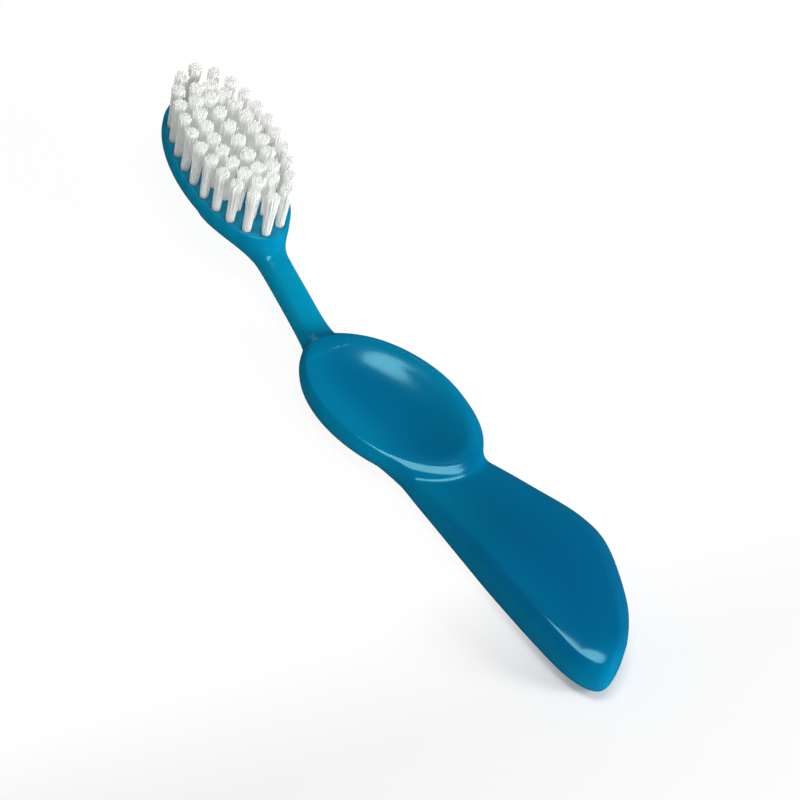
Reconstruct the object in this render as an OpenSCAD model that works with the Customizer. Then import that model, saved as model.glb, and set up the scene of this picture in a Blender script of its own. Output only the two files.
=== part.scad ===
// Manual toothbrush, lying on its back with the bristles up.
// X runs along the brush from the head towards the end of the wing-shaped grip.
// The head and the neck lie on Y = 0, and X = 0 is under the middle of the thumb pad.
// Z = 0 is the flat underside of the pad and wing, which the brush rests on.

/* [Head] */
// Length of the oval head plate
head_l = 38.4; // [36:0.1:42]
// Width of the head plate
head_w = 18.9; // [18:0.1:21]
// Thickness of the head plate
head_t = 5; // [4.6:0.1:6.5]
// Depth of the straight side wall under the bristle face
head_wall = 1.6; // [1:0.1:2.4]
// How far the curved belly draws in to the flat back of the head
belly_in = 4; // [2.5:0.1:5.5]
// Height of the bristle face above the rest plane
face_h = 12.6; // [11.5:0.1:14]
// Distance from the middle of the thumb pad to the middle of the head
head_reach = 59.2; // [57:0.1:64]

/* [Bristles] */
// Length of bristle that stands out of the face
bristle_h = 10; // [8:0.5:12]
// Number of tufts in the outer ring
outer_count = 22; // [18:1:23]
// Number of tufts in the inner ring
inner_count = 18; // [12:1:19]
// Number of tufts in the centre row
centre_count = 6; // [4:1:6]
// Distance from the edge of the face to the middle of an outer tuft
face_margin = 1.8; // [1.6:0.1:2.1]
// Distance between the two rings at the ends of the head
ring_step_l = 4; // [3.6:0.1:4.4]
// Distance between the two rings at the sides of the head
ring_step_w = 3.3; // [3:0.1:3.6]
// Pitch of the tufts in the centre row
centre_pitch = 3.8; // [3.2:0.1:3.9]
// Diameter of a tuft hole
hole_d = 1.8; // [1.7:0.1:2]
// Depth of a tuft hole
hole_depth = 3.2; // [2.6:0.1:3.4]
// Gap all round between a packed tuft and its hole
tuft_gap = 0.03; // [0.01:0.01:0.06]
// Diameter of a tuft at its splayed top
tuft_top_d = 2.6; // [2:0.1:2.7]
// Number of strands round the middle strand of a tuft
ring_strands = 7; // [6:1:7]
// Width of each side of a strand
strand_w = 0.36; // [0.28:0.02:0.36]
// Difference in length between the longest and the shortest strand
strand_ragged = 0.4; // [0:0.1:0.8]
// Length of the wire anchor, across the hole and into its walls
anchor_l = 2.1; // [2.05:0.05:2.4]
// Height of the anchor
anchor_h = 1.3; // [1:0.1:1.6]
// Thickness of the anchor
anchor_t = 0.25; // [0.2:0.05:0.4]
// Thickness of the bristle fold under the anchor
fold_t = 0.5; // [0.3:0.1:0.8]

/* [Neck] */
// Width of the neck
neck_w = 5.9; // [5:0.1:7]
// Thickness of the neck
neck_t = 4.2; // [3.6:0.1:5]
// Height of the middle of the neck where it leaves the head
neck_h_head = 7.6; // [7:0.1:8.4]
// Height of the middle of the neck where it meets the pad
neck_h_pad = 5.2; // [4.6:0.1:5.6]

/* [Thumb pad] */
// Length of the oval pad
pad_l = 39.2; // [37:0.1:43]
// Width of the pad
pad_w = 22.4; // [20:0.1:24]
// Angle of the pad's long axis to the neck
pad_turn = 24; // [18:1:28]
// Distance from the neck's axis to the middle of the pad
pad_shift = 4.6; // [4:0.1:5.4]
// Height of the pad's rim at its two ends
rim_h = 8.8; // [8.4:0.1:9.6]
// Rise of the rim on the side of the wing's bulge, and its fall on the other side
rim_tilt = 1.8; // [1:0.1:2.2]
// Distance from the pad's outline to the rim's crest
rim_in = 1.9; // [1.4:0.1:2.4]
// Height of the rounded shoulder outside the rim
rim_shoulder = 2; // [1.4:0.1:2.4]
// Distance from the pad's outline to where its top starts to fall towards the wing
step_in = 3.5; // [2.8:0.1:4]
// Angle of the fall towards the wing
step_slope = 24; // [18:1:28]
// Height of the lowest part of the thumb bowl, without its tilt
bowl_h = 7; // [6.4:0.1:7.4]

/* [Wing grip] */
// Distance from the middle of the thumb pad to the end of the wing
wing_reach = 69.5; // [65:0.1:75]
// Distance from the neck's axis to the widest point of the wing
wing_w = 27.7; // [26:0.1:30]
// Thickness of the wing at its edge, in its outer half
wing_t = 8; // [7.4:0.1:9]
// Thickness of the wing at its edge beside the pad
wing_t_pad = 6.6; // [6.4:0.1:7]
// Rise of the wing's top from its edge to its middle
wing_crown = 0.6; // [0:0.1:0.8]
// Drop of the wing's top beside the pad, most on the straight side
wing_droop = 2; // [1.2:0.1:2.2]
// Radius of the dome in which the wing's top falls to its tip
tip_round = 13; // [10:0.5:18]
// Distance that the dome reaches in from the straight side
tip_reach = 9; // [7:0.5:11]
// Radius of the wing's top edge on the straight side and at the tip
wing_edge_r = 2; // [1.2:0.1:2]
// Radius of the wing's top edge on the side that bulges
wing_bulge_r = 4.2; // [2:0.1:4.6]

/* [Underside] */
// Radius that rounds the wing into the flat underside
wing_foot_r = 3.2; // [2:0.1:3.2]
// Distance that the pad's rounded side draws in to the flat underside
pad_foot = 5.5; // [4:0.1:7]

/* [Hidden] */
overrun = 1;
lip = 0.4;
sink = 0.3;
head_x = -head_reach;
hole_sides = 12;
plug_sides = 8;
strand_sides = 3;
plug_r = hole_d / 2 * cos(180 / hole_sides) - tuft_gap;
plug_proud = 0.5;
root_drop = 0.6;

head_points = 64;
neck_points = 24;
pad_points = 56;
wing_steps = 4;
neck_steps = 3;

// Height, along the neck's fall, and size of each neck section, as shares of the named sizes.
// Each row holds the place along head_reach, the height, the width and the thickness.
neck_shares = [
    [0.14, 1.46, 1.80, 0.60],
    [0.22, 1.27, 1.45, 0.82],
    [0.29, 1.08, 1.15, 0.97],
    [0.35, 0.93, 1.00, 1.00],
    [0.48, 0.56, 0.98, 1.00],
    [0.60, 0.18, 1.00, 1.00],
    [0.66, 0.08, 1.10, 1.04],
    [0.70, 0.06, 1.30, 1.13],
    [0.735, 0.06, 1.50, 1.20]
];

// Outline of the wing from its tip, along the bulge to its root and back along the straight side,
// as shares of wing_reach and of wing_w. The two sides hold points at the same places along X.
wing_outline_shares = [
    [1.000, 0.405],
    [0.975, 0.525], [0.910, 0.690], [0.800, 0.860], [0.620, 0.985],
    [0.500, 0.945], [0.370, 0.775], [0.240, 0.580], [0.130, 0.370],
    [0.095, 0.150],
    [0.130, -0.020], [0.240, -0.010], [0.370, 0.025], [0.500, 0.060],
    [0.620, 0.095], [0.800, 0.165], [0.910, 0.225], [0.975, 0.305]
];

// Ends of the line that the wing's inner rings close on, as shares of wing_reach and of wing_w.
spine_shares = [[0.245, 0.250], [0.860, 0.470]];
// Where the wing's root rises to its full height, as shares of pad_l.
root_shares = [0.20, 0.42];
// Where the droop beside the pad has faded out, as shares of wing_reach.
droop_shares = [0.19, 0.64];
// Where the droop begins and is full across the wing, as shares of the half-width.
droop_edge_shares = [0.8, -0.6];
// Line of the wing's straight side, as shares of wing_reach and of wing_w.
straight_shares = [[0.500, 0.060], [0.910, 0.225]];
// Where the tip's dome grows along the straight side and where it is full, as shares of wing_reach.
tip_shares = [0.76, 0.97];
// Where the top starts to fall to the tip, as a share of wing_reach.
tip_start_share = 0.91;
// How gently the dome falls to the straight side: more is flatter.
tip_ease = 5.8;
// Where the pad's top begins to fall towards the wing and falls in full, as shares of its length.
step_shares = [-0.05, 0.3];
// Where the edge rounds off from the tip's radius to the bulge's, as shares of the half-width.
bulge_shares = [0.1, 0.8];
// Half-width of the wing that its crown and droop are measured over, as a share of wing_w.
wing_half_share = 0.45;
// How round the neck's section is: 2 is an ellipse, and more is squarer.
neck_square = 3;
// How steeply the bowl rises to its rim.
bowl_power = 2;
// Deepest point of the bowl, as shares of the rim's half-length and half-width.
bowl_deepest_shares = [0.12, 0.12];
// How far past the head's end each ring of tufts starts, as shares of its pitch.
outer_first_share = 0.8;
inner_first_share = 0.5;

function two_digits(n) = str(n < 10 ? "0" : "", n);
function tuft_names(ring, count) = [for (i = [1:count]) str("tuft_", ring, "_", two_digits(i))];
outer_names = tuft_names("outer", outer_count);
inner_names = tuft_names("inner", inner_count);
centre_names = tuft_names("centre", centre_count);

function mix(a, b, t) = a + (b - a) * t;
function clamp01(t) = min(max(t, 0), 1);
function ease(t) = let (u = clamp01(t)) u * u * (3 - 2 * u);
function between(t, ends) = ease((t - ends[0]) / (ends[1] - ends[0]));
function on_ellipse(a, b, angle) = [a * cos(angle), b * sin(angle)];
function power_of(t, p) = sign(t) * pow(abs(t), p);

// Point at share t of the span from b to c on a smooth curve through a, b, c and d.
function curve_point(a, b, c, d, t) =
    b + ((c - a) * t + (2 * a - 5 * b + 4 * c - d) * t * t + (3 * b - a - 3 * c + d) * t * t * t) / 2;

function closed_curve(p, steps) = let (n = len(p))
    [for (i = [0:n - 1], k = [0:steps - 1])
        curve_point(p[(i + n - 1) % n], p[i], p[(i + 1) % n], p[(i + 2) % n], k / steps)];

function open_curve(p, steps) = let (n = len(p))
    concat(
        [for (i = [0:n - 2], k = [0:steps - 1])
            curve_point(p[max(i - 1, 0)], p[i], p[i + 1], p[min(i + 2, n - 1)], k / steps)],
        [p[n - 1]]);

// Solid through a stack of closed rings, each with the same even number of points. A ring starts at
// its end on the X axis, so that a cap can join each point to the one across from it.
module ring_solid(rings) {
    n = len(rings[0]);
    last = n * (len(rings) - 1);
    sides = [for (a = [0:n:last - n], j = [0:n - 1]) let (k = a + j, next = a + (j + 1) % n)
        each [[k, k + n, next + n], [k, next + n, next]]];
    cap = concat(
        [for (j = [0:n / 2 - 2]) [j, j + 1, n - j - 1]],
        [for (j = [1:n / 2 - 1]) [j, n - j - 1, n - j]]);
    polyhedron(
        points = [for (ring = rings) each ring],
        faces = concat(sides, cap, [for (f = cap) [last + f[2], last + f[1], last + f[0]]]));
}

// Head

function head_ring(inset, z) = [for (j = [0:head_points - 1])
    let (p = on_ellipse(head_l / 2 - inset, head_w / 2 - inset, j * 360 / head_points))
    [head_x + p.x, p.y, z]];

module head_plate() {
    belly_t = head_t - head_wall;
    wall_foot = face_h - head_wall;
    translate([0, 0, wall_foot])
        linear_extrude(head_wall)
            polygon([for (p = head_ring(0, 0)) [p.x, p.y]]);
    ring_solid(
        [for (angle = [90:-18:0])
            head_ring(belly_in * (1 - cos(angle)), wall_foot - belly_t * sin(angle))]);
}

// Neck

neck_sections = open_curve(
    [for (row = neck_shares) [
        head_x + head_reach * row[0],
        mix(neck_h_pad, neck_h_head, row[1]),
        neck_w / 2 * row[2],
        neck_t / 2 * row[3]
    ]], neck_steps);

function neck_ring(section) = [for (j = [0:neck_points - 1])
    let (angle = j * 360 / neck_points)
    [section[0],
        section[2] * power_of(cos(angle), 2 / neck_square),
        section[1] + section[3] * power_of(sin(angle), 2 / neck_square)]];

module neck() {
    ring_solid([for (section = neck_sections) neck_ring(section)]);
}

// Thumb pad

// Ring of the pad at a height that tilts across it: tilt_share is 1 for the full tilt of the rim, and
// outside is the ring's distance out from where the top starts to fall to the wing.
function pad_ring(inset, z, tilt_share, outside) = [for (j = [0:pad_points - 1])
    let (angle = j * 360 / pad_points,
        p = on_ellipse(pad_l / 2 - inset, pad_w / 2 - inset, angle),
        rim = rim_h + rim_tilt * sin(angle),
        fall = tan(step_slope) * between(p.x, pad_l * step_shares) * max(outside, 0))
    [p.x, p.y, min(z + rim_tilt * sin(angle) * tilt_share, rim - fall)]];

// Ring of the bowl, drawn in by a size from the rim to its deepest point.
function bowl_ring(size) =
    let (a = pad_l / 2 - rim_in - lip,
        b = pad_w / 2 - rim_in - lip,
        deepest = [a * bowl_deepest_shares[0], b * bowl_deepest_shares[1]])
    [for (j = [0:pad_points - 1])
        let (p = mix(deepest, on_ellipse(a, b, j * 360 / pad_points), size),
            rise = mix(bowl_h, rim_h, pow(size, bowl_power)) + rim_tilt * p.y / b,
            outside = step_in - rim_in - lip - (1 - size) * b,
            fall = tan(step_slope) * between(p.x, pad_l * step_shares) * max(outside, 0))
        [p.x, p.y, min(rise, rim_h + rim_tilt * p.y / b - fall)]];

module thumb_pad() {
    widest = rim_h - rim_shoulder;
    foot = [for (angle = [0:18:90])
        let (inset = pad_foot * (1 - sin(angle)))
        pad_ring(inset, widest * (1 - cos(angle)), 1 - cos(angle), step_in - inset)];
    shoulder = [for (angle = [18:18:90])
        let (inset = rim_in * (1 - cos(angle)))
        pad_ring(inset, rim_h - rim_shoulder * (1 - sin(angle)), 1, step_in - inset)];
    bowl = [for (size = [1, 0.92, 0.84, 0.72, 0.56, 0.38, 0.2, 0.06]) bowl_ring(size)];
    translate([0, pad_shift, 0])
        rotate([0, 0, pad_turn])
            ring_solid(concat(foot, shoulder, bowl));
}

// Wing

wing_outline = closed_curve(
    [for (p = wing_outline_shares) [wing_reach * p[0], wing_w * p[1]]], wing_steps);
spine = [for (p = spine_shares) [wing_reach * p[0], wing_w * p[1]]];

function on_spine(p) = let (run = spine[1] - spine[0])
    spine[0] + run * clamp01((p - spine[0]) * run / (run * run));

function spine_y(x) = mix(spine[0].y, spine[1].y, (x - spine[0].x) / (spine[1].x - spine[0].x));

// Place across the wing: 0 on the spine and 1 at the edge that bulges.
function across(x, y) = (y - spine_y(x)) / (wing_half_share * wing_w);

// How far the top falls in a dome to the tip, and along the straight side before it.
function tip_fall(x, y) =
    let (from = [wing_reach * straight_shares[0].x, wing_w * straight_shares[0].y],
        to = [wing_reach * straight_shares[1].x, wing_w * straight_shares[1].y],
        inward = y - mix(from.y, to.y, (x - from.x) / (to.x - from.x)),
        reach = mix(wing_edge_r, tip_reach, between(x, wing_reach * tip_shares)))
    pow(max(x - wing_reach * tip_start_share, 0), 2) / (2 * tip_round)
        + pow(max(reach - inward, 0), 2) / (tip_ease * reach);

function wing_top(x, y) =
    let (v = across(x, y),
        outer = between(x, wing_reach * droop_shares),
        root = 1 - between(x, pad_l * root_shares))
    mix(wing_t_pad, wing_t, outer) + wing_crown * (1 - v * v) - tip_fall(x, y)
        - wing_droop * (1 - outer) * between(v, droop_edge_shares) - root_drop * root;

// Radius of the top edge at a point of the outline, held clear of the rounded foot.
function edge_r(p) = min(
    mix(wing_edge_r, wing_bulge_r, between(across(p.x, p.y), bulge_shares)),
    wing_top(p.x, p.y) - wing_foot_r - lip);

// A point of the outline drawn in by a distance towards the spine.
function drawn_in(p, inset) = let (way = on_spine(p) - p) p + way * min(inset / norm(way), 1);

function edge_point(p, angle) =
    let (r = edge_r(p), q = drawn_in(p, r * (1 - cos(angle))))
    [q.x, q.y, wing_top(q.x, q.y) - r * (1 - sin(angle))];

function foot_point(p, angle) =
    let (q = drawn_in(p, wing_foot_r * (1 - sin(angle))))
    [q.x, q.y, wing_foot_r * (1 - cos(angle))];

function crown_point(p, share) =
    let (q = mix(drawn_in(p, edge_r(p)), on_spine(p), share))
    [q.x, q.y, wing_top(q.x, q.y)];

module wing() {
    foot = [for (angle = [0:22.5:90]) [for (p = wing_outline) foot_point(p, angle)]];
    edge = [for (angle = [0:18:90]) [for (p = wing_outline) edge_point(p, angle)]];
    crown = [for (share = [0.3, 0.6, 0.8]) [for (p = wing_outline) crown_point(p, share)]];
    ring_solid(concat(foot, edge, crown));
}

// Places of the tufts

// Points spread evenly along an ellipse, from a share of their pitch past its end on the X axis.
function even_on_ellipse(a, b, count, first_share) =
    let (steps = 180,
        along = [for (i = 0, s = 0; i <= steps;
            s = s + norm(on_ellipse(a, b, (i + 1) * 360 / steps) - on_ellipse(a, b, i * 360 / steps)),
            i = i + 1) [s, i * 360 / steps]],
        total = along[steps][0])
    [for (k = [0:count - 1]) on_ellipse(a, b, lookup(total * (k + first_share) / count, along))];

outer_a = head_l / 2 - face_margin;
outer_b = head_w / 2 - face_margin;
outer_places = even_on_ellipse(outer_a, outer_b, outer_count, outer_first_share);
inner_places = even_on_ellipse(
    outer_a - ring_step_l, outer_b - ring_step_w, inner_count, inner_first_share);
centre_places = [for (k = [0:centre_count - 1]) [(k - (centre_count - 1) / 2) * centre_pitch, 0]];
all_places = concat(outer_places, inner_places, centre_places);

module at_hole_floor(place) {
    translate([head_x + place.x, place.y, face_h - hole_depth])
        children();
}

module tuft_hole() {
    cylinder(d = hole_d, h = hole_depth + overrun, $fn = hole_sides);
}

// Handle: head plate, neck, thumb pad and wing, moulded in one piece, with the tuft holes in it.
module handle() {
    color([0, 0.46, 0.64])
        difference() {
            union() {
                head_plate();
                neck();
                thumb_pad();
                wing();
            }
            for (place = all_places)
                at_hole_floor(place) tuft_hole();
        }
}

// Anchors: one flat piece of wire a tuft, on edge across the hole and pressed into its walls.
module anchor(length) {
    translate([-length / 2, -anchor_t / 2, fold_t])
        cube([length, anchor_t, anchor_h]);
}

module tuft_anchors() {
    color([0.78, 0.72, 0.55])
        for (place = all_places)
            at_hole_floor(place) anchor(anchor_l);
}

// Tufts: strands that leave a packed root, which is folded round its anchor.
module strand(from, to, angle) {
    n = strand_sides;
    r = strand_w / (2 * sin(180 / n));
    corners = [for (k = [0:n - 1]) on_ellipse(r, r, angle + k * 360 / n)];
    ring_points = [for (end = [from, to], c = corners) [end.x + c.x, end.y + c.y, end.z]];
    sides = [for (k = [0:n - 1]) let (next = (k + 1) % n) each [[k, k + n, next + n], [k, next + n, next]]];
    polyhedron(
        points = ring_points,
        faces = concat(sides, [[0, 1, 2], [5, 4, 3]]));
}

module tuft(place, number) {
    root_h = hole_depth + plug_proud;
    strand_r = strand_w / (2 * sin(180 / strand_sides));
    root_r = plug_r * cos(180 / plug_sides) - strand_r - tuft_gap;
    top_r = tuft_top_d / 2 - strand_r;
    tip = hole_depth + bristle_h;
    color([0.93, 0.94, 0.92])
        at_hole_floor(place) {
            difference() {
                cylinder(r = plug_r, h = root_h, $fn = plug_sides);
                anchor(2 * plug_r + overrun);
            }
            strand([0, 0, root_h - sink], [0, 0, tip], 0);
            for (k = [0:ring_strands - 1]) {
                angle = k * 360 / ring_strands;
                short = strand_ragged * ((k * 3 + number) % 4) / 3;
                strand(
                    [root_r * cos(angle), root_r * sin(angle), root_h - sink],
                    [top_r * cos(angle), top_r * sin(angle), tip - short],
                    angle);
            }
        }
}

handle();
tuft_anchors();
for (i = [0:outer_count - 1])
    tuft(outer_places[i], i);
for (i = [0:inner_count - 1])
    tuft(inner_places[i], i);
for (i = [0:centre_count - 1])
    tuft(centre_places[i], i);
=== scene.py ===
"""Manual toothbrush: a one-piece glossy handle, packed bristle tufts and their wire anchors.

The handle is one smooth moulding. It is described by a signed distance field in millimetres, which
is turned into a mesh and pressed onto the exact surface. The tufts stand where the frame has them.
"""

import math

import bpy
import numpy as np
from mathutils import Matrix, Vector


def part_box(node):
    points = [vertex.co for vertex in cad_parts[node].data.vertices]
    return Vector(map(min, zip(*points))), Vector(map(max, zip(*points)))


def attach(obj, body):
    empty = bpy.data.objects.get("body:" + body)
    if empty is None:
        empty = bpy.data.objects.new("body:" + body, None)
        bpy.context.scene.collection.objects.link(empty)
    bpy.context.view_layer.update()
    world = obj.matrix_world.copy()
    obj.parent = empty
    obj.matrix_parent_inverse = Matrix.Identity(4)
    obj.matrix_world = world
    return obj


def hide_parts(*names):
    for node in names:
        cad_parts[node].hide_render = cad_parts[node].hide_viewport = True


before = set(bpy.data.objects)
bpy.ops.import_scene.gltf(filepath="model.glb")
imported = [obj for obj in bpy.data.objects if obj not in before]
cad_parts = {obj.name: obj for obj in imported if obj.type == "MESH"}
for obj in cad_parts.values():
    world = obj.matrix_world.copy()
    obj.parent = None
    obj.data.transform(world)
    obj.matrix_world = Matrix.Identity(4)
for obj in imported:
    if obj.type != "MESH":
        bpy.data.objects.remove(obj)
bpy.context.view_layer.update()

bl_info = {
    "name": "Manual toothbrush",
    "version": (1, 0, 0),
    "blender": (4, 5, 0),
    "location": "View3D > Sidebar > Toothbrush",
    "description": "Builds a toothbrush with a wing-shaped grip around its packed frame",
    "category": "Object",
}

MM = 0.001
TUFT_NODES = sorted(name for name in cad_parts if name.startswith("tuft_") and name != "tuft_anchors")
TUFT_BOXES = {name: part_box(name) for name in TUFT_NODES}
FACE_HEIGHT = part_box("handle")[1].z
WHITE = (1.0, 1.0, 1.0, 1.0)
BLACK = (0.0, 0.0, 0.0)
# Keeps a division by zero away.
TINY = 1e-6


# Settings


def length(name, description, millimetres):
    return bpy.props.FloatProperty(
        name=name, description=description, default=millimetres * MM, subtype="DISTANCE", unit="LENGTH")


def colour(name, description, rgb):
    return bpy.props.FloatVectorProperty(
        name=name, description=description, default=rgb, size=3, min=0.0, max=1.0, subtype="COLOR")


class BrushHandleSettings(bpy.types.PropertyGroup):
    head_length: length("Head length", "Length of the oval head plate", 38.4)
    head_width: length("Head width", "Width of the head plate", 18.9)
    head_thickness: length("Head thickness", "Thickness of the head plate", 5.0)
    head_wall: length("Head wall", "Depth of the straight wall under the bristle face", 1.6)
    belly_in: length("Belly", "How far the curved belly draws in", 4.0)
    head_reach: length("Head reach", "From the middle of the thumb pad to the middle of the head", 59.2)
    face_height: length("Face height", "Height of the bristle face above the rest plane", FACE_HEIGHT / MM)
    face_edge: length("Face edge", "Radius of the edge round the bristle face", 0.45)
    hole_width: length("Tuft hole", "Diameter of a tuft hole", 1.8)
    hole_depth: length("Hole depth", "Depth of a tuft hole", 3.2)
    hole_edge: length("Hole edge", "Softness of the edge of a tuft hole", 0.08)
    neck_width: length("Neck width", "Width of the neck", 5.9)
    neck_thickness: length("Neck thickness", "Thickness of the neck", 4.2)
    neck_height_head: length("Neck height at the head", "Height of the neck's middle at the head", 7.6)
    neck_height_pad: length("Neck height at the pad", "Height of the neck's middle at the pad", 5.2)
    pad_length: length("Pad length", "Length of the oval thumb pad", 39.2)
    pad_width: length("Pad width", "Width of the thumb pad", 22.4)
    pad_shift: length("Pad shift", "From the neck's axis to the middle of the pad", 4.6)
    pad_foot: length("Pad foot", "How far the pad's side draws in to the flat underside", 5.5)
    rim_height: length("Rim height", "Height of the pad's rim at its two ends", 8.8)
    rim_tilt: length("Rim tilt", "Rise of the rim on the side of the wing's bulge", 1.8)
    rim_in: length("Rim inset", "From the pad's outline to the rim's crest", 1.9)
    rim_shoulder: length("Rim shoulder", "Height of the rounded shoulder outside the rim", 2.0)
    step_in: length("Step inset", "How far in the pad's top starts to fall towards the wing", 3.5)
    step_edge: length("Step edge", "Softness of the edge between that fall and the shoulder", 0.5)
    rim_soft: length("Rim softness", "How far the bowl and the shoulder run into each other", 1.2)
    bowl_height: length("Bowl floor", "Height of the lowest part of the thumb bowl, without its tilt", 7.0)
    wing_reach: length("Wing reach", "From the middle of the thumb pad to the end of the wing", 69.5)
    wing_width: length("Wing width", "From the neck's axis to the widest point of the wing", 27.7)
    wing_thickness: length("Wing thickness", "Thickness of the wing's outer half at its edge", 8.0)
    wing_thickness_pad: length("Wing thickness at the pad", "Thickness of the wing's edge at the pad", 6.6)
    wing_crown: length("Wing crown", "Rise of the wing's top from its edge to its middle", 0.6)
    wing_droop: length("Wing droop", "Drop of the wing's top beside the pad", 2.0)
    wing_edge: length("Wing edge", "Radius of the wing's top edge on the straight side", 2.0)
    wing_bulge_edge: length("Wing bulge edge", "Radius of the top edge on the side that bulges", 4.2)
    wing_foot: length("Wing foot", "Radius that rounds the wing into its underside", 3.2)
    wing_wall: length("Wing wall", "Least height of the wall between the wing's two roundings", 0.4)
    tip_round: length("Tip round", "Radius of the dome that the top falls in to the end of the wing", 13.0)
    tip_reach: length("Tip reach", "How far in from the straight side the dome reaches", 9.0)
    neck_fillet: length("Neck fillet", "How far the neck runs into the head", 3.2)
    pad_fillet: length("Pad fillet", "How far the neck runs into the pad", 2.2)
    wing_fillet: length("Wing fillet", "How far the wing runs into the pad", 2.4)
    glow_spread: length("Glow spread", "How far light spreads out in the plastic", 3.2)
    # Painted light: how much lighter the upright walls are painted.
    edge_glow: bpy.props.FloatProperty(
        name="Edge glow", description="Light that enters through the upright walls", default=0.08)
    # Painted shade beside the tuft holes, which darkens the plastic there.
    root_shade: bpy.props.FloatProperty(
        name="Root shade", description="How much the tuft roots darken the plastic beside them", default=0.5)
    mesh_pitch: length("Mesh pitch", "Spacing of the grid that the moulding is meshed on", 0.34)
    pad_turn: bpy.props.FloatProperty(
        name="Pad turn", description="Angle of the pad's long axis to the neck",
        default=math.radians(24.0), subtype="ANGLE", unit="ROTATION")
    step_slope: bpy.props.FloatProperty(
        name="Step slope", description="Fall of the pad's shoulder towards the wing",
        default=math.radians(24.0), subtype="ANGLE", unit="ROTATION")
    thin_colour: colour("Thin plastic", "Colour where light passes through easily", (0.0, 0.350, 0.550))
    thick_colour: colour("Thick plastic", "Colour where the moulding is thick", (0.0, 0.050, 0.172))
    roughness: bpy.props.FloatProperty(
        name="Roughness", description="Roughness of the polished moulding", default=0.12, min=0.0, max=1.0)


class BrushTuftSettings(bpy.types.PropertyGroup):
    root_width: length("Tuft root", "Diameter of a packed tuft at the face", 1.78)
    top_width: length("Tuft top", "Diameter of an outer tuft at its splayed top", 2.55)
    inner_top_width: length("Inner tuft top", "Diameter of an inner tuft at its splayed top", 2.85)
    filament_width: length("Filament", "Diameter of one nylon filament", 0.18)
    ragged: length("Raggedness", "How unequal the trimmed filaments are", 0.45)
    wander: length("Wander", "How far a filament strays from its place", 0.14)
    filaments: bpy.props.IntProperty(
        name="Filaments", description="Filaments in one tuft", default=125, min=20, max=160)
    # Painted glow: emission that stands in for the light passing through a bundle.
    shine_through: bpy.props.FloatProperty(
        name="Shine through", description="Share of the light that comes through a bundle", default=0.06)
    nylon: colour("Nylon", "Colour of the filaments", (0.95, 0.96, 0.935))
    # Painted shade: the greyer colour that the filaments take near the face, between the tufts.
    nylon_root: colour(
        "Nylon near the face", "Colour of the filaments between the tufts", (0.91, 0.93, 0.90))


class BrushStageSettings(bpy.types.PropertyGroup):
    aim: bpy.props.FloatVectorProperty(
        name="Aim", description="Point in the middle of the picture",
        default=(-12.9 * MM, 16.8 * MM, -10.5 * MM), size=3, subtype="XYZ", unit="LENGTH")
    distance: length("Distance", "From the camera to the point that it is aimed at", 1050.0)
    azimuth: bpy.props.FloatProperty(
        name="Azimuth", description="Direction that the camera looks from",
        default=math.radians(50.7), subtype="ANGLE", unit="ROTATION")
    elevation: bpy.props.FloatProperty(
        name="Elevation", description="Height of the camera over the horizon",
        default=math.radians(47.5), subtype="ANGLE", unit="ROTATION")
    roll: bpy.props.FloatProperty(
        name="Roll", description="Turn of the camera about its line of sight",
        default=math.radians(14.4), subtype="ANGLE", unit="ROTATION")
    lens: bpy.props.FloatProperty(
        name="Lens", description="Focal length in millimetres", default=252.0)
    key: bpy.props.FloatProperty(
        name="Key light", description="Power of the softbox overhead in watts", default=1.3)
    fill: bpy.props.FloatProperty(
        name="Fill light", description="Power of the softbox beyond the wing's bulge in watts", default=5.8)
    front: bpy.props.FloatProperty(
        name="Front light", description="Power of the softbox beyond the wing's end in watts", default=4.2)
    surround: bpy.props.FloatProperty(
        name="Surround", description="Strength of the light from all round", default=0.24)
    surround_in_gloss: bpy.props.FloatProperty(
        name="Surround in gloss", description="Strength of the surround in reflections", default=0.05)


# Shader maths


class Socket:
    """A node's output, with Python's operators adding the Math nodes."""

    def __init__(self, tree, output):
        self.tree = tree
        self.output = output

    def maths(self, operation, first, second):
        return self.tree.add("ShaderNodeMath", {"operation": operation}, [first, second])

    def __add__(self, other):
        return self.maths("ADD", self, other)

    def __mul__(self, other):
        return self.maths("MULTIPLY", self, other)

    def __sub__(self, other):
        return self.maths("SUBTRACT", self, other)

    def __rsub__(self, other):
        return self.maths("SUBTRACT", other, self)

    def __pow__(self, other):
        return self.maths("POWER", self, other)

    __radd__ = __add__
    __rmul__ = __mul__

    def clamped(self):
        """The value kept between 0 and 1."""
        return self.maths("MAXIMUM", self.maths("MINIMUM", self, 1.0), 0.0)


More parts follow.
